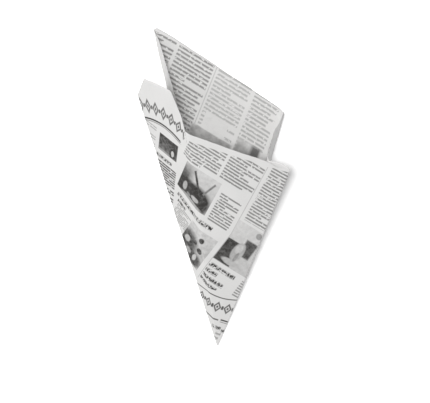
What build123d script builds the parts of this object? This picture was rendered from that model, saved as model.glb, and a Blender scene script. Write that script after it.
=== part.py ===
from build123d import *
import os
from math import cos, radians, sin, tan

os.makedirs("parts", exist_ok=True)

# A pointed paper bag, folded from one sheet and opened by hand, lying on its flat back panel.
# Every fold runs straight to the tip, so each panel is a flat or gently curved fan of lines from the tip.
# While it is modelled the tip is at the origin, the mouth is towards +Y and up is +Z.
# Bearings are degrees from +Y towards +X, and rises are degrees above the table.

# Sheet
paper = 0.4  # the wall; the real sheet is thinner, and this is the least that stays a clean solid
crease = 0.5  # outer radius of a sharp fold, on the drawing plane

# Drawing plane of the folded section, further out than any corner of the sheet
section_distance = 300

# Back panel, flat on the table
back_left_bearing = -11.0
back_right_bearing = 17.5
back_right_bend = 22

# Right side wall, pinched in at its waist, and the sharp fold that stands out above it
waist_bearing = 14.8
waist_rise = 12.0
waist_bend = 60
fold_root_bearing = 14.6
fold_root_rise = 21.7
fold_root_bend = 9
right_fold_bearing = 22.6
right_fold_rise = 22.9

# Front panel, a low arch from the right fold to the front's left shoulder
arch_bearing = 6.0
arch_rise = 25.6
arch_bend = 260
shoulder_bearing = -8.4
shoulder_rise = 25.6
shoulder_bend = 14

# Left wing, which slopes from the shoulder to a sharp fold and back under to the table
wing_fold_bearing = -17.5
wing_fold_rise = 13.6

# Cut edges of the sheet. A reach is how far a cut passes from the tip, square to its bearing.
back_edge_bearing = 33.5
back_edge_reach = 210.8
peak_edge_bearing = -57.2
peak_edge_reach = 201.5
mouth_edge_bearing = 27.6
mouth_edge_lean = 37.4
mouth_edge_reach = 181.5
wing_edge_bearing = 25.5
wing_edge_reach = 188.8
wing_end_bearing = -64.5
wing_end_reach = 162.2
wing_root_bearing = 67.8
wing_root_reach = 48

# How far above the tip the hollows start, where the sheet is still pressed shut
hollow_start = 2.2
wing_hollow_start = 6.5

# How far the cutters run past the sheet, and how far above the table they start on the drawing plane
clear = 60
mouth_cut_foot = 0.6  # clear above the back panel
wing_cut_foot = 0.2  # inside the fold where the wing meets the back panel


def ray(bearing, rise):
    """Where the line from the tip with this bearing and rise crosses the drawing plane."""
    across = section_distance * tan(radians(bearing))
    up = section_distance * tan(radians(rise)) / cos(radians(bearing))
    return across, up


def cut_plane(bearing, reach, lean=0):
    """The plane of a cut through the sheet. Its normal points away from the tip and leans up."""
    level = cos(radians(lean))
    normal = Vector(sin(radians(bearing)) * level, cos(radians(bearing)) * level, sin(radians(lean)))
    return Plane(origin=normal * reach, z_dir=normal)


def near_tip(points, distance):
    """The middle of a section of the bag, this far from the tip."""
    share = distance / section_distance
    across = sum(point[0] for point in points) / len(points)
    up = sum(point[1] for point in points) / len(points)
    return Vertex(across * share, distance, up * share)


back_left = ray(back_left_bearing, 0)
back_right = ray(back_right_bearing, 0)
waist = ray(waist_bearing, waist_rise)
fold_root = ray(fold_root_bearing, fold_root_rise)
right_fold = ray(right_fold_bearing, right_fold_rise)
arch = ray(arch_bearing, arch_rise)
shoulder = ray(shoulder_bearing, shoulder_rise)
wing_fold = ray(wing_fold_bearing, wing_fold_rise)
section_plane = Plane.XZ.offset(-section_distance)
tip = Vertex(0, 0, 0)


def outline():
    """Draws the folded sheet's outer face on the drawing plane."""
    return FilletPolyline(
        back_left,
        back_right,
        waist,
        fold_root,
        right_fold,
        arch,
        shoulder,
        wing_fold,
        radius=[
            crease,
            back_right_bend,
            waist_bend,
            fold_root_bend,
            crease,
            arch_bend,
            shoulder_bend,
            crease,
        ],
        close=True,
    )


# Outside of the whole bag
with BuildPart() as outside:
    with BuildSketch(section_plane) as outside_section:
        with BuildLine():
            outline()
        make_face()
    loft(sections=[outside_section.sketch.face(), tip])

# Inside of the bag, which the left wall divides in two
wall_lean = (shoulder[0] - back_left[0]) / (shoulder[1] - back_left[1])
wall_foot = (back_left[0] - clear * wall_lean, back_left[1] - clear)
wall_head = (shoulder[0] + clear * wall_lean, shoulder[1] + clear)
with BuildSketch(section_plane) as inside_section:
    with BuildLine():
        outline()
    make_face()
    offset(amount=-paper, kind=Kind.INTERSECTION)
    with BuildLine():
        Polyline(
            wall_foot,
            wall_head,
            (wall_head[0] + paper, wall_head[1]),
            (wall_foot[0] + paper, wall_foot[1]),
            close=True,
        )
    make_face(mode=Mode.SUBTRACT)
wing_side, food_side = inside_section.sketch.faces().sort_by(Axis.X)

# Hollow that the food goes in, between the back, the left wall, the front and the right wall
with BuildPart() as hollow:
    loft(sections=[food_side, near_tip([back_left, back_right, waist, shoulder], hollow_start)])

# Hollow between the wing and the outer face of the left wall
with BuildPart() as wing_hollow:
    loft(sections=[wing_side, near_tip([back_left, shoulder, wing_fold], wing_hollow_start)])

# What the slanting cut at the mouth takes off the two side walls and the front, above the back panel
with BuildPart() as mouth_cut:
    with BuildSketch(section_plane) as mouth_section:
        with BuildLine():
            Polyline(
                (back_left[0] - paper, mouth_cut_foot),
                (right_fold[0] + clear, mouth_cut_foot),
                (right_fold[0] + clear, shoulder[1] + clear),
                (shoulder[0], shoulder[1] + clear),
                shoulder,
                close=True,
            )
        make_face()
    loft(sections=[mouth_section.sketch.face(), tip])
    split(bisect_by=cut_plane(mouth_edge_bearing, mouth_edge_reach, mouth_edge_lean), keep=Keep.TOP)

# What the three cuts at the end of the wing take off it
wing_cuts = []
for bearing, reach in (
    (wing_edge_bearing, wing_edge_reach),
    (wing_end_bearing, wing_end_reach),
    (wing_root_bearing, wing_root_reach),
):
    with BuildPart() as wing_cut:
        with BuildSketch(section_plane) as wing_cut_section:
            with BuildLine():
                Polyline(
                    (back_left[0], wing_cut_foot),
                    shoulder,
                    (shoulder[0], shoulder[1] + clear),
                    (wing_fold[0] - clear, shoulder[1] + clear),
                    (wing_fold[0] - clear, wing_cut_foot),
                    close=True,
                )
            make_face()
        loft(sections=[wing_cut_section.sketch.face(), tip])
        split(bisect_by=cut_plane(bearing, reach), keep=Keep.TOP)
    wing_cuts.append(wing_cut.part)

with BuildPart() as paper_bag:
    add(outside.part)
    add(hollow.part, mode=Mode.SUBTRACT)
    add(wing_hollow.part, mode=Mode.SUBTRACT)
    split(bisect_by=cut_plane(back_edge_bearing, back_edge_reach), keep=Keep.BOTTOM)
    split(bisect_by=cut_plane(peak_edge_bearing, peak_edge_reach), keep=Keep.BOTTOM)
    add(mouth_cut.part, mode=Mode.SUBTRACT)
    add(wing_cuts, mode=Mode.SUBTRACT)

# The bag's own frame has its origin under the middle of the whole bag, on the table
box = paper_bag.part.bounding_box()
paper_bag.part.position = (-box.center().X, -box.center().Y, -box.min.Z)
paper_bag.part.label = "paper_bag"
export_step(paper_bag.part, "parts/paper_bag.step")
print("volume", paper_bag.part.volume, "solids", len(paper_bag.part.solids()), "size", box.size)
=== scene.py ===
from math import atan2, cos, exp, pi, radians, sin, tan

import bpy
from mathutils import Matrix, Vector, noise


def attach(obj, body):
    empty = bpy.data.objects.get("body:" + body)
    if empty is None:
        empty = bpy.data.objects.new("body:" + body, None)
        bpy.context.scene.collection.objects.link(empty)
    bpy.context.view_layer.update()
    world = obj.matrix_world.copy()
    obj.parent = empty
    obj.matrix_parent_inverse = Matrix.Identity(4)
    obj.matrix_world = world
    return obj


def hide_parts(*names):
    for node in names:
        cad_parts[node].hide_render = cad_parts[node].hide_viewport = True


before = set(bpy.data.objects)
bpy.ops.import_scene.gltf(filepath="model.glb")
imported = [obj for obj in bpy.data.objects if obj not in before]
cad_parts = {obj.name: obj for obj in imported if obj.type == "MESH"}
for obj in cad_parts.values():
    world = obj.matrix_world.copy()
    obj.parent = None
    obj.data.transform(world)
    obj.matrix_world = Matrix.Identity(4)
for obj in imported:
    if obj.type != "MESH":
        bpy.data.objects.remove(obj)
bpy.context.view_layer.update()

# A pointed paper bag lying on its back. Lengths are millimetres until a mesh or a light is made,
# and angles are degrees. The bag is worked out from its tip, with +Y towards the mouth and +Z up.
MM = 0.001

# The folded sheet, as the CAD has it but for a tighter fold at the foot of the right wall
# and creases that are a little rounder.
# A bearing goes from +Y towards +X, and a rise up from the table.
SECTION = 300  # distance from the tip to the plane on which the fold corners are drawn
FOLDS = {
    "wall_top": (-8.5, 25.2),
    "back_left": (-11.0, 0.0),
    "back_right": (16.5, 0.0),  # 17.5 in the CAD
    "waist": (14.8, 12.0),
    "fold_root": (14.6, 21.7),
    "right_fold": (22.6, 22.9),
    "arch": (6.0, 25.6),
    "shoulder": (-8.4, 25.6),
    "wing_fold": (-17.5, 13.6),
    "wing_foot": (-11.1, 0.1),
}
BENDS = {
    "back_left": 0.9,
    "back_right": 8,  # 22 in the CAD
    "waist": 60,
    "fold_root": 9,
    "right_fold": 0.9,
    "arch": 260,
    "shoulder": 14,
    "wing_fold": 0.9,
}

# The cuts that end the sheet: bearing, lean and reach of each
BACK_CUT = (33.5, 0, 210.8)
PEAK_CUT = (-57.2, 0, 201.5)
MOUTH_CUT = (27.6, 37.4, 181.5)
WING_CUTS = [(25.5, 0, 188.8), (-64.5, 0, 162.2), (67.8, 0, 48)]
MOUTH_CUT_FOOT = 0.6  # the mouth's cut starts this far above the table on the section
NO_CUT = 1000  # further from the tip than any cut

PAPER = 0.22  # thickness of the greaseproof sheet
ACROSS = 2.3  # how far apart the lines of the mesh are on the section
ROWS = 118  # rings of the mesh from the tip to the cut edges
TIP = 2.4  # the sheet starts this far from the tip, which is worn blunt

# The bag in the shared frame: its tip is the model's furthest point towards -Y
cad_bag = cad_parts["paper_bag"]
cad_tip = min((vertex.co for vertex in cad_bag.data.vertices), key=lambda place: place.y)
TIP_X, TIP_Y = cad_tip.x, cad_tip.y


# The sheet's shape


def ray(bearing, rise):
    """Where the line from the tip with this bearing and rise crosses the section."""
    return Vector((SECTION * tan(radians(bearing)), SECTION * tan(radians(rise)) / cos(radians(bearing))))


def run(start, end, step):
    """Points from start to end, without the start."""
    count = max(1, round((end - start).length / step))
    return [start.lerp(end, i / count) for i in range(1, count + 1)]


def bend(before, corner, after, radius):
    """Points of the arc that rounds a corner of the section."""
    back, ahead = (before - corner).normalized(), (after - corner).normalized()
    half = back.angle(ahead) / 2
    middle = corner + (back + ahead).normalized() * radius / sin(half)
    start, end = corner + back * radius / tan(half), corner + ahead * radius / tan(half)
    first = atan2(start.y - middle.y, start.x - middle.x)
    turn = (atan2(end.y - middle.y, end.x - middle.x) - first + pi) % (2 * pi) - pi
    count = max(4, round(abs(turn) * radius / ACROSS))
    return [
        middle + radius * Vector((cos(first + turn * i / count), sin(first + turn * i / count)))
        for i in range(count + 1)
    ]


def section():
    """The folded sheet on the section, as points, each with the name of the panel it is on."""
    names = list(FOLDS)
    corners = [ray(*FOLDS[name]) for name in names]
    points, panels = [corners[0]], [names[0]]
    for before, name, corner, after in zip(corners, names[1:], corners[1:], corners[2:]):
        arc = bend(before, corner, after, BENDS[name])
        leg = run(points[-1], arc[0], ACROSS)
        points += leg + arc[1:]
        panels += [panels[-1]] * len(leg) + [name] * (len(arc) - 1)
    last = run(points[-1], corners[-1], ACROSS)
    return points + last, panels + [panels[-1]] * len(last)


def cut_at(direction, cut):
    """How far from the tip a line in this direction meets a cut."""
    bearing, lean, reach = radians(cut[0]), radians(cut[1]), cut[2]
    normal = Vector((sin(bearing) * cos(lean), cos(bearing) * cos(lean), sin(lean)))
    along = direction.dot(normal)
    return reach / along if along > 0 else NO_CUT


points, panels = section()
lines = [Vector((point.x, SECTION, point.y)).normalized() for point in points]
wing_first = panels.index("shoulder") + 4  # the wing's own cuts start partway round the shoulder

# How far round the flat sheet each line is, in degrees, counted from the back panel's left fold
turned = [0.0]
for before, after in zip(lines, lines[1:]):
    turned.append(turned[-1] + before.angle(after) * 180 / pi)
left_fold_turn = turned[panels.index("back_left")]
turned = [FOLDS["back_left"][0] + turn - left_fold_turn for turn in turned]


def turn_of(fold):
    """How far round the flat sheet a fold is."""
    corner = ray(*FOLDS[fold])
    return turned[min(range(len(points)), key=lambda index: (points[index] - corner).length)]


back_left_turn, back_right_turn = FOLDS["back_left"][0], turn_of("back_right")
waist_turn, fold_root_turn, right_fold_turn = turn_of("waist"), turn_of("fold_root"), turn_of("right_fold")
shoulder_turn, wing_fold_turn = turn_of("shoulder"), turn_of("wing_fold")


def edge_of(index):
    """How long the line is from the tip to the cut edge."""
    if index >= wing_first:
        cuts = WING_CUTS
    elif points[index].y < MOUTH_CUT_FOOT:
        cuts = [BACK_CUT, PEAK_CUT]
    else:
        cuts = [MOUTH_CUT, BACK_CUT, PEAK_CUT]
    return min(cut_at(lines[index], cut) for cut in cuts)


def wave(place, scale, seed):
    """A smooth random wave between about -1 and 1."""
    return noise.noise(Vector((place[0] / scale, place[1] / scale, seed)))


def waves(place, parts):
    """A sum of waves, each with a height, a scale and a seed."""
    return sum(height * wave(place, scale, seed) for height, scale, seed in parts)


def normal_of(index):
    """The sheet's outward normal along a line."""
    before = points[max(index - 1, 0)]
    after = points[min(index + 1, len(points) - 1)]
    tangent = Vector((after.x - before.x, 0, after.y - before.y))
    return lines[index].cross(tangent).normalized()


def near(turn, middle, width):
    """How close a line is to a turn round the sheet: 1 there, and fading to 0 either side."""
    return exp(-(((turn - middle) / width) ** 2))


def hump(value, low, high):
    """0 at low and at high, and 1 halfway."""
    return sin(pi * min(max((value - low) / (high - low), 0), 1))


def ramp(value, low, high):
    """0 below low and 1 above high."""
    share = min(max((value - low) / (high - low), 0), 1)
    return share * share * (3 - 2 * share)


# Waves in the paper and along its cut edge: height and scale in millimetres, and seed
PAPER_WAVES = [(0.45, 38, 1.7), (0.2, 12, 4.1)]
CRUMPLE_WAVES = [(1.4, 15, 6.6), (0.6, 7, 3.3)]
EDGE_WAVES = [(0.45, 4.0, 9.3), (0.25, 1.3, 2.2)]

# Where the cut edge is worn back: depth in millimetres, and the middle and width of the wear in degrees
WORN = [
    (2.6, back_right_turn + 1.6, 1.6),
    (1.9, right_fold_turn + 3.2, 2.4),
    (1.0, right_fold_turn, 0.7),
    (4.4, fold_root_turn + 0.2, 1.9),
]
WING_BOW = 1.2  # how far the wing's cut edge bows out

# Folds pushed sideways: distance towards +X, the middle and width in degrees, and the reaches it grows over
PUSHED = [
    (-1.9, back_left_turn, 1.6, 225, 280),
    (0.9, right_fold_turn, 1.5, 110, 170),
    (-1.2, back_right_turn + 1.6, 3.4, 140, 176),
]

# The back panel's swells and its crumples beside the right wall: height, scale and seed
SWELL = (1.3, 55, 8.2)
BACK_CRUMPLE = (2.4, 6, 5.7)
BACK_TOP = 1.2  # lower points of the section than this are on the back panel
STIFF = 120  # nearer the tip than this, the narrowing paper waves less and less
PRESSED = 50  # the sheet thins to nothing between here and the tip


def edge_change(turn):
    """How far the real cut edge is outside the straight cut: worn corners, a bow and small waves."""
    change = waves((turn, 0), EDGE_WAVES)
    change += WING_BOW * hump(turn, shoulder_turn + 1, wing_fold_turn)
    for depth, middle, width in WORN:
        change -= depth * near(turn, middle, width)
    return change


def back_lift(lift, flat, turn, reach):
    """The back panel only lifts off the table: broad swells, and crumples beside the right wall."""
    swell = max(waves(flat, [SWELL]), 0) * hump(turn, back_left_turn, 16)
    beside_wall = near(turn, 14.5, 2.6) * ramp(reach, 150, 168) * (1 - ramp(reach, 186, 202))
    return -0.2 * abs(lift) - swell - beside_wall * abs(waves(flat, [BACK_CRUMPLE]))


def grown(reach, index, side):
    """A point of the sheet this far from the tip, on its outer or inner face."""
    turn = turned[index]
    flat = (reach * sin(radians(turn)), reach * cos(radians(turn)))
    lift = waves(flat, PAPER_WAVES)
    lift += near(turn, waist_turn + 1, 7) * ramp(reach, 105, 175) * waves(flat, CRUMPLE_WAVES)
    if points[index].y < BACK_TOP:
        lift = back_lift(lift, flat, turn, reach)
    inward = 0 if side else PAPER * min(1, reach / PRESSED)
    point = lines[index] * reach + normal_of(index) * (lift * min(reach / STIFF, 1) - inward)
    for distance, middle, width, low, high in PUSHED:
        point.x += distance * near(turn, middle, width) * ramp(reach, low, high)
    point.z = max(point.z, 0)
    return point


FRONT, WING, FOOT, SIDE, INSIDE = range(5)  # places in the list of materials


def paper_bag():
    """The whole bag as one sheet with an outer and an inner face."""
    columns = len(lines)
    vertices, pages = [], []
    edges = [edge_of(index) for index in range(columns)]
    for side in (1, 0):
        for index in range(columns):
            turn = radians(turned[index])
            reach = edges[index] + edge_change(turned[index])
            for row in range(ROWS + 1):
                distance = TIP + (reach - TIP) * row / ROWS
                vertices.append(grown(distance, index, side) * MM)
                pages.append((distance * sin(turn), distance * cos(turn)))
    faces, sides = [], []
    count = ROWS + 1
    block = columns * count
    for index in range(columns - 1):
        for row in range(ROWS):
            a = index * count + row
            quad = (a, a + 1, a + count + 1, a + count)
            faces.append(quad)
            sides.append(page_at(*pages[a]))
            faces.append(tuple(block + corner for corner in reversed(quad)))
            sides.append(INSIDE)
        rim = index * count + ROWS
        faces.append((rim, rim + block, rim + count + block, rim + count))
        sides.append(INSIDE)
    for first in (0, (columns - 1) * count):
        for row in range(ROWS):
            a = first + row
            quad = (a, a + block, a + block + 1, a + 1)
            faces.append(quad if first == 0 else tuple(reversed(quad)))
            sides.append(INSIDE)
    mesh = bpy.data.meshes.new("paper_bag_sheet")
    mesh.from_pydata(vertices, [], faces)
    page = mesh.uv_layers.new(name="page")
    for loop in mesh.loops:
        page.data[loop.index].uv = pages[loop.vertex_index]
    mesh.polygons.foreach_set("material_index", sides)
    mesh.polygons.foreach_set("use_smooth", [True] * len(faces))
    mesh.update()
    bag = bpy.data.objects.new("paper_bag_sheet", mesh)
    bpy.context.collection.objects.link(bag)
    bag.location = (TIP_X, TIP_Y, 0)
    return bag


# Shader sums


class Shade:
    """A shader socket that Python's own operators work on."""

    def __init__(self, paint, socket):
        self.paint, self.socket = paint, socket

    def maths(self, operation, *others):
        return self.paint.node("ShaderNodeMath", {"operation": operation}, (self, *others))

    def __add__(self, other):
        return self.maths("ADD", other)

    def __sub__(self, other):
        return self.maths("SUBTRACT", other)

    def __rsub__(self, other):
        return self.paint.node("ShaderNodeMath", {"operation": "SUBTRACT"}, (other, self))

    def __mul__(self, other):
        return self.maths("MULTIPLY", other)

    def __truediv__(self, other):
        return self.maths("DIVIDE", other)

    def __neg__(self):
        return self.maths("MULTIPLY", -1)

    def __pow__(self, other):
        return self.maths("POWER", other)

    __radd__, __rmul__ = __add__, __mul__

    def least(self, other):
        return self.maths("MINIMUM", other)

    def most(self, other):
        return self.maths("MAXIMUM", other)

    def whole(self):
        return self.maths("FLOOR")

    def over(self, edge, soft):
        """0 below the edge and 1 above it, over a soft distance."""
        settings = {"operation": "MULTIPLY_ADD", "use_clamp": True}
        return self.paint.node("ShaderNodeMath", settings, (self, 1 / soft, 0.5 - edge / soft))

    def under(self, edge, soft):
        """1 below the edge and 0 above it, over a soft distance."""
        settings = {"operation": "MULTIPLY_ADD", "use_clamp": True}
        return self.paint.node("ShaderNodeMath", settings, (self, -1 / soft, 0.5 + edge / soft))

    def within(self, low, high, soft):
        """1 between two edges and 0 outside them."""
        return self.over(low, soft).least(self.under(high, soft))


class Paint:
    """One material and the nodes in it."""

    def __init__(self, name):
        self.material = bpy.data.materials.new(name)
        self.material.use_nodes = True
        self.tree = self.material.node_tree
        self.tree.nodes.clear()

    def node(self, kind, settings=None, inputs=(), output=0):
        """A node with its settings and inputs, given as its output socket."""
        made = self.tree.nodes.new(kind)
        for name, setting in (settings or {}).items():
            setattr(made, name, setting)
        named = inputs.items() if isinstance(inputs, dict) else enumerate(inputs)
        for name, value in named:
            if isinstance(value, Shade):
                self.tree.links.new(value.socket, made.inputs[name])
            else:
                made.inputs[name].default_value = value
        return Shade(self, made.outputs[output])

    def place(self, x, y):
        """Two lengths as one vector."""
        return self.node("ShaderNodeCombineXYZ", inputs=(x, y))

    def grain(self, scale, detail=2.0, roughness=0.5, lean=0.0, tall=1.0):
        """Noise over the sheet, from about 0.3 to 0.7. Its axes lean, and the second one is stretched."""
        where = self.node("ShaderNodeUVMap", {"uv_map": "page"})
        turn = {"Vector": where, "Rotation": (0, 0, radians(lean)), "Scale": (1, tall, 1)}
        where = self.node("ShaderNodeMapping", {"vector_type": "TEXTURE"}, turn)
        inputs = {"Vector": where, "Scale": scale, "Detail": detail, "Roughness": roughness}
        return self.node("ShaderNodeTexNoise", {"noise_dimensions": "2D"}, inputs)

    def chance(self, number):
        """A random number for each whole number."""
        return self.node("ShaderNodeTexWhiteNoise", {"noise_dimensions": "1D"}, {"W": number})

    def blend(self, share, first, second):
        """A colour between two colours."""
        settings = {"data_type": "RGBA", "clamp_factor": True}
        factor, colour_a, colour_b, colour_out = 0, 6, 7, 2  # the node's sockets for colours
        inputs = {factor: share, colour_a: first, colour_b: second}
        return self.node("ShaderNodeMix", settings, inputs, colour_out)

    def finish(self, shader):
        """Ends the material with this shader."""
        out = self.tree.nodes.new("ShaderNodeOutputMaterial")
        self.tree.links.new(shader.socket, out.inputs["Surface"])
        return self.material


# The print
# Greeked newsprint: rows of dashes, bars, rules and pictures of plain shapes.


class Page:
    """A printed page on the sheet. Along is the reading direction and up is the page's own up."""

    def __init__(self, paint, along, up, lean):
        self.paint, self.along, self.up = paint, along, up
        self.words = paint.grain(0.36, detail=0, lean=lean, tall=0.6).over(0.30, 0.06)
        letters = paint.grain(1.3, detail=1, lean=lean, tall=0.9).within(0.25, 0.9, 0.35)
        self.letters = letters * 0.45 + 0.55
        self.strokes = paint.grain(0.78, detail=0, lean=lean, tall=2.4).over(0.44, 0.10) * 0.6 + 0.4
        self.ink = None

    def put(self, ink):
        """Prints ink over what is there."""
        self.ink = ink if self.ink is None else self.ink.most(ink)

    def box(self, left, right, bottom, top, soft=0.35):
        """1 inside a rectangle and 0 outside."""
        return self.along.within(left, right, soft).least(self.up.within(bottom, top, soft))

    def rows(self, left, right, bottom, top, pitch, seed, dark=0.8, height=0.5, ends=0.2, bold=False):
        """A column of text: a row of dashes each pitch, some cut short at a paragraph's end."""
        line = (top - self.up) / pitch
        row = line.whole()
        body = (line - row).within(0.5 - height / 2, 0.5 + height / 2, 0.3)
        short = (self.paint.chance(row + seed) - (1 - ends)).most(0) * ((right - left) * 0.7 / ends)
        column = (self.along + short).under(right, 0.5).least(self.along.over(left, 0.5))
        marks = self.words * (self.strokes if bold else self.letters)
        self.put(body * column * self.up.within(bottom, top, 0.4) * marks * dark)

    def rule(self, at, bottom, top, width, dark=0.4):
        """A line between two columns."""
        self.put(self.box(at - width / 2, at + width / 2, bottom, top, 0.3) * dark)

    def disc(self, x, y, across, tall, soft=0.12):
        """1 inside an ellipse and 0 outside."""
        offset = self.paint.place((self.along - x) / across, (self.up - y) / tall)
        return self.paint.node("ShaderNodeVectorMath", {"operation": "LENGTH"}, (offset,), 1).under(1, soft)

    def stroke(self, x, y, lean, length, width, soft=0.5):
        """1 inside a straight stroke that leans this many degrees from the reading direction."""
        turn = radians(lean)
        dx, dy = self.along - x, self.up - y
        on = (dx * cos(turn) + dy * sin(turn)).within(-length / 2, length / 2, soft)
        return on.least((dy * cos(turn) - dx * sin(turn)).within(-width / 2, width / 2, soft))

    def picture(self, frame_mask, shade):
        """Lays a picture over whatever is printed there."""
        self.ink = self.ink * (1 - frame_mask) + frame_mask * shade


def tone(base, *layers):
    """A picture's grey: each layer is a mask and the ink that it brings."""
    whole = base
    for mask, ink in layers:
        whole = whole * (1 - mask) + mask * ink
    return whole


def sheet_place(paint, turn, mirrored):
    """Sheet lengths across and up a page whose foot is at this turn round the sheet."""
    page = paint.node("ShaderNodeUVMap", {"uv_map": "page"})
    parts = paint.node("ShaderNodeSeparateXYZ", inputs=(page,))
    x, y = parts, Shade(paint, parts.socket.node.outputs["Y"])
    across = x * cos(radians(turn)) - y * sin(radians(turn))
    up = y * cos(radians(turn)) + x * sin(radians(turn))
    return (-across if mirrored else across), up


def turned_page(paint, across, up, lean, page_lean):
    """A page that leans this many degrees clockwise on the sheet."""
    along = across * cos(radians(lean)) - up * sin(radians(lean))
    return Page(paint, along, across * sin(radians(lean)) + up * cos(radians(lean)), page_lean)


FRONT_LEAN, WING_LEAN, INSIDE_LEAN = 15, -9, -2  # degrees clockwise that each page leans on the sheet
FRONT_TOP = 184  # the front's print ends this far up, and leaves a plain margin


def front_page(paint, across, up):
    """The page over the front panel."""
    page = turned_page(paint, across, up, FRONT_LEAN, FRONT_LEAN - right_fold_turn)
    page.along = page.along + (page.up - 100).most(0) * 0.15  # the columns slant above the pictures
    text = {"pitch": 2.95, "dark": 0.74}
    page.rows(-131, -94, 137, 172, seed=3.1, **text)
    page.rows(-91, -56.5, 139.5, 178, seed=8.2, **text)
    page.rows(-51.5, -20, 118, 184, seed=5.4, **text)
    page.rows(-82, -60, 99.5, 129, seed=1.7, pitch=2.7, dark=0.78)
    page.rows(-113, -89, 66, 85, seed=2.6, pitch=2.1, dark=0.62)
    page.rows(-119, -72, 90.5, 96.5, seed=6.1, pitch=6, dark=1, height=0.6, ends=0.01, bold=True)
    page.rows(-115, -103, 84.5, 90.5, seed=1.2, pitch=6, dark=0.95, height=0.55, ends=0.01, bold=True)
    page.rows(-54.5, -25, 42.6, 68.2, seed=4.5, pitch=6.4, dark=1, height=0.54, ends=0.4, bold=True)
    page.rows(-20, -6, 48, 68, seed=9.2, pitch=2.6, dark=0.7)
    page.rule(-55.6, 40, 172, 0.7, 0.33)
    # A bowl with two spoons, fruit on a cloth, and jars on a dark table, all in plain shapes
    disc, stroke = page.disc, page.stroke
    mottle = paint.grain(0.28, detail=3) - 0.5
    fall = (136 - page.up).most(0) / 35
    bowl = tone(
        fall * 0.3 + 0.12,
        (page.along.under(-113, 8) * fall.over(0.12, 0.5), 0.9),
        (disc(-107, 108, 22, 13.5, 0.25), 1),
        (disc(-104, 101, 14, 3.6, 0.3), 0.5),
        (disc(-116, 110, 2.6, 5.2, 0.3), 0.45),
        (disc(-101, 108, 4.6, 2.4, 0.3), 0.4),
        (disc(-109, 106, 2.6, 1.8, 0.3), 0.7),
        (stroke(-106, 124, 128, 22, 2.0, 0.8), 0.95),
        (stroke(-93, 124, 68, 16, 1.8, 0.8), 0.75),
    )
    page.picture(page.box(-124, -85.5, 101, 135.5), bowl + mottle * 0.3)
    fruit = tone(
        (90 - page.up) * 0.006 + 0.18,
        (disc(-86, 60, 13, 16, 0.5), 0.92),
        (disc(-70, 52, 9, 7, 0.5), 0.95),
        (disc(-86, 64, 3.4, 4.0, 0.3), 0.35),
        (disc(-79, 54, 3.6, 3.0, 0.3), 0.5),
        (disc(-69, 66, 3.2, 3.4, 0.25), 0.95),
        (disc(-77, 70, 2.2, 2.6, 0.3), 0.9),
        (disc(-73, 78, 2.6, 3.0, 0.3), 0.95),
        (disc(-70, 54, 2.2, 4.4, 0.3), 0.3),
    )
    page.picture(page.box(-92, -60.5, 45, 87), fruit + mottle * 0.45)
    jars = tone(
        (108 - page.up).most(0) * 0.004 + 0.16,
        (page.box(-55.3, -38.5, 71.5, 96, 0.8), 0.95),
        (page.box(-39.5, -28, 86, 103, 1.5), 0.9),
        (disc(-40, 88, 5.5, 10, 0.2), 0.42),
        (disc(-40.5, 91, 3.2, 5.0, 0.3), 0.26),
        (disc(-40, 76, 9, 3.0, 0.3), 0.36),
        (disc(-38.5, 83, 1.6, 5.0, 0.3), 0.6),
        (disc(-31, 111, 3.0, 3.0, 0.3), 0.6),
    )
    page.picture(page.box(-55.5, 2, 71, 115.5), jars + mottle * 0.3)
    page.ink = page.ink * up.under(FRONT_TOP, 0.5)
    return page


def motif_band(page, along, up, width, tall):
    """A band of lozenges with a dot in each and a dot between each two."""
    beat = along / width
    part = (beat - beat.whole() - 0.5).maths("ABSOLUTE") * width
    high = up.maths("ABSOLUTE")
    lozenge = part * (2.6 / width) + high / tall
    page.put(lozenge.within(0.56, 1.02, 0.2) * 0.85)
    page.put(lozenge.under(0.30, 0.16) * 0.9)
    page.put((part - width / 2).maths("ABSOLUTE").under(1.0, 0.5) * high.under(1.9, 0.6) * 0.9)


def foot_page(paint, across, up):
    """The page near the tip: an arc, a band of ornament, bars and small headings."""
    page = Page(paint, across, up, -right_fold_turn)
    arc = ((across + 15) ** 2 * 0.0105).least(across * 0.21 + 7.4)
    page.put((up - arc).within(47.4, 48.4, 0.4) * 0.9)
    motif_band(page, across, up - arc * 0.7 - 38.4, 9.6, 5.4)
    page.put(page.box(-30, -9, 25.4, 26.8, 0.4) * 0.85)
    page.put(page.box(-7, 1.5, 26.4, 27.8, 0.4) * 0.95)
    page.put(page.box(-7, 1.5, 24.6, 25.3, 0.4) * 0.7)
    page.rows(-13, -4, 16.2, 21, seed=7.7, pitch=4.8, dark=0.95, height=0.6, ends=0.01, bold=True)
    page.rows(-3, 0.5, 14.4, 19.6, seed=2.7, pitch=5.2, dark=0.95, height=0.5, ends=0.01, bold=True)
    page.rows(-7, -2, 6, 15.5, seed=5.1, pitch=4.7, dark=0.55, height=0.5, ends=0.3)
    return page


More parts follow.
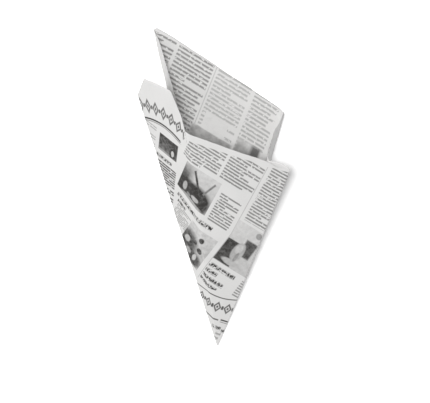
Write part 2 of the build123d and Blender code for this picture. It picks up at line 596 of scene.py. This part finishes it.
def wing_page(paint, across, up):
    """The page that turns over the left shoulder onto the wing."""
    page = turned_page(paint, across, up, WING_LEAN, WING_LEAN - right_fold_turn)
    middle, radius = (-94.4, 135.6), 57.8  # of the arc under the heading
    dx, dy = page.along - middle[0], page.up - middle[1]
    out = paint.node("ShaderNodeVectorMath", {"operation": "LENGTH"}, (paint.place(dx, dy),), 1)
    page.put(out.within(radius - 0.7, radius + 1.0, 0.4))
    page.put(out.within(radius - 2.3, radius - 1.5, 0.4) * 0.75)
    motif_band(page, dx.maths("ARCTAN2", dy) * (radius + 13), out - radius - 12.6, 10.4, 7.4)
    page.rows(-103, -82, 154.8, 161.5, seed=3.9, pitch=6.7, dark=0.95, height=0.5, ends=0.01, bold=True)
    page.rows(-112, -75.5, 92, 154, seed=2.2, pitch=2.6, dark=1, height=0.6)
    page.rows(-128, -106, 158, 186, seed=1.3, pitch=2.7, dark=0.45)
    mottle = paint.grain(0.3, detail=3) - 0.5
    cup = tone(
        (page.up - 160) * 0.008 + 0.8,
        (page.disc(-82.5, 170.5, 4.4, 5.6, 0.3), 1),
        (page.disc(-82.5, 170.5, 1.9, 3.3, 0.3), 0.25),
        (page.box(-101, -86, 165, 167, 0.8), 0.6),
    )
    page.picture(page.box(-101.3, -76.6, 165, 183.3), cup + mottle * 0.4)
    return page


def side_page(paint, across, up):
    """Plain columns of text over the right wall and the underside, which the photograph hides."""
    page = turned_page(paint, across, up, FRONT_LEAN, FRONT_LEAN - right_fold_turn)
    column = 38  # from one column of text to the next
    beat = page.along / column
    page.along = (beat - beat.whole()) * column
    page.rows(1.5, 36, 20, 150, seed=6.4, pitch=2.95, dark=0.7)
    page.ink = page.ink * across.over(3, 0.5)
    return page


PAPER_WHITE = (0.735, 0.730, 0.722, 1)
INK = (0.040, 0.038, 0.036, 1)


def printed(paint, ink):
    """Matt greaseproof paper with this much ink on it."""
    fibre = paint.grain(0.9, detail=4, roughness=0.6)
    cloud = paint.grain(0.05, detail=2)
    shade = (fibre - 0.5) * 0.10 + (cloud - 0.5) * 0.10
    colour = paint.blend((ink + shade).most(0), PAPER_WHITE, INK)
    bump = paint.node(
        "ShaderNodeBump",
        inputs={"Height": fibre * 0.5 + cloud * 4, "Strength": 0.25, "Distance": 0.0004},
    )
    shader = paint.node(
        "ShaderNodeBsdfPrincipled",
        inputs={"Base Color": colour, "Roughness": 0.7, "Specular IOR Level": 0.25, "Normal": bump},
    )
    return paint.finish(shader)


def page_print(name, draw):
    """The paper with one page of the outside print."""
    paint = Paint(name)
    across, up = sheet_place(paint, right_fold_turn, True)
    return printed(paint, draw(paint, across, up).ink)


def page_at(x, y):
    """Which outside page is over this place of the sheet: the front, the wing, the foot or the side."""
    turn = radians(right_fold_turn)
    across, up = y * sin(turn) - x * cos(turn), y * cos(turn) + x * sin(turn)
    if across > 1.5:
        return SIDE
    if up < 52:
        return FOOT
    lean = radians(WING_LEAN)
    along, high = across * cos(lean) - up * sin(lean), across * sin(lean) + up * cos(lean)
    wing_right = -69 if high > 190 else -73
    return WING if along < wing_right else FRONT


def inside_print():
    """The paper with the inside's columns of text, and pictures that the mouth half hides, with painted
    shade: the columns by the left wall are inked darker, and the pictures darken towards the front panel's
    edge.
    """
    paint = Paint("inside_print")
    across, up = sheet_place(paint, BACK_CUT[0], False)
    page = turned_page(paint, across, up, INSIDE_LEAN, -INSIDE_LEAN - BACK_CUT[0])
    page.along = page.along + (page.up - 190) * 0.17
    crumple = page.along.over(4, 22) * page.up.under(178, 16) * 9
    page.up = page.up + (paint.grain(0.11, detail=1) - 0.5) * crumple
    # The third number is each column's ink. The two columns by the left wall are inked darker than the
    # rest. That is print, with painted shade of the left wall.
    columns = [(-285, -248, 0.5), (-243, -206, 0.5), (-201, -170, 0.68), (-167, -130, 0.68)]
    columns += [(-125.5, -90.5, 0.40), (-86.5, -60, 0.46), (-53, -22, 0.42), (-17, 16, 0.42)]
    for number, (left, right, dark) in enumerate(columns):
        page.rows(left, right, 30, 215.5, pitch=3.55, seed=number * 1.7 + 2.9, dark=dark)
    page.rule(-127.8, 60, 215, 0.9, 0.26)
    mottle = paint.grain(0.2, detail=3) - 0.5
    page.picture(page.box(-122, -98, 161, 176), mottle * 0.2)
    # Painted shade: the pictures darken towards the front panel's top edge, as the shade under that edge
    # would. The mottle is the pictures' own print.
    picture_with_painted_shade = (165 - page.up).over(-3, 12) * 0.3 + mottle * 0.5
    page.picture(page.box(-130, -89, 150, 161, 2), picture_with_painted_shade + 0.12)
    dark_corner = (page.box(-71, -62.5, 150, 174, 3), 0.85)
    page.picture(page.box(-86, -62, 150, 171.5, 3), tone(picture_with_painted_shade + 0.2, dark_corner))
    return printed(paint, page.ink)


# The piece

bag = paper_bag()
for name, draw in (
    ("front_print", front_page),
    ("wing_print", wing_page),
    ("foot_print", foot_page),
    ("side_print", side_page),
):
    bag.data.materials.append(page_print(name, draw))
bag.data.materials.append(inside_print())
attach(bag, "root")
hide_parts("paper_bag")


# Floor, light and camera

FLOOR_GREY = 0.9
FLOOR_WHITE = 1.3  # over 1, so that the floor around the shadow is as white as a photo's backdrop
FLOOR_HALF = 3.0  # metres from the middle of the floor to its sides
FLOOR_DROP = 0.0002  # metres that the floor is below the bag
SKY = 0.31  # strength of the even light from all round

# The camera. One pixel is 0.9 mm at the table, and the picture is 430 pixels wide.
PIXEL = 0.9 * MM
PICTURE_WIDTH = 430
PICTURE_MIDDLE = (215, 201.5)
TIP_PIXEL = (217.5, 347.5)
CAMERA_HEIGHT = 8.0  # metres above the table
SENSOR = 36.0  # width of the camera's sensor


def grey(level):
    """An even colour, which may be over 1."""
    return (level, level, level, 1)


def floor():
    """A pale floor that is white to the camera and keeps the bag's shadow."""
    mesh = bpy.data.meshes.new("floor")
    corners = [(x * FLOOR_HALF, y * FLOOR_HALF, 0) for x, y in ((-1, -1), (1, -1), (1, 1), (-1, 1))]
    mesh.from_pydata(corners, [], [(0, 1, 2, 3)])
    made = bpy.data.objects.new("floor", mesh)
    made.location.z = -FLOOR_DROP
    bpy.context.collection.objects.link(made)
    paint = Paint("floor_white")
    surface = paint.node("ShaderNodeBsdfDiffuse", inputs={"Color": grey(FLOOR_GREY)})
    kinds = ("Camera", "Glossy", "Transmission")
    rays = [paint.node("ShaderNodeLightPath", output=f"Is {kind} Ray") for kind in kinds]
    seen = rays[0].most(rays[1]).most(rays[2])
    white = paint.node("ShaderNodeBsdfDiffuse", inputs={"Color": grey(FLOOR_WHITE)})
    mesh.materials.append(paint.finish(paint.node("ShaderNodeMixShader", inputs=(seen, surface, white))))


def lamp(name, place, size, power):
    """A soft square lamp that faces the bag. Its place and size are metres, its power watts."""
    light = bpy.data.lights.new(name, "AREA")
    light.size, light.energy = size, power
    made = bpy.data.objects.new(name, light)
    made.location = place
    made.rotation_euler = (-Vector(place)).to_track_quat("-Z", "Y").to_euler()
    bpy.context.collection.objects.link(made)


def camera():
    """A long lens straight above the bag, as the photograph has it."""
    lens = bpy.data.cameras.new("camera")
    lens.sensor_width = SENSOR
    lens.lens = SENSOR * CAMERA_HEIGHT / (PICTURE_WIDTH * PIXEL)
    lens.clip_end = 20
    made = bpy.data.objects.new("camera", lens)
    right = (PICTURE_MIDDLE[0] - TIP_PIXEL[0]) * PIXEL
    above = (TIP_PIXEL[1] - PICTURE_MIDDLE[1]) * PIXEL
    made.location = (TIP_X + right, TIP_Y + above, CAMERA_HEIGHT)
    bpy.context.collection.objects.link(made)
    bpy.context.scene.camera = made


floor()
lamp("key", (-0.15, 0.05, 2.6), 0.40, 43)
lamp("left_fill", (-2.2, 0.9, 1.3), 1.6, 22)
world = bpy.data.worlds.new("studio")
world.use_nodes = True
world.node_tree.nodes["Background"].inputs["Color"].default_value = grey(1)
world.node_tree.nodes["Background"].inputs["Strength"].default_value = SKY
bpy.context.scene.world = world
bpy.context.scene.view_settings.view_transform = "Standard"
camera()
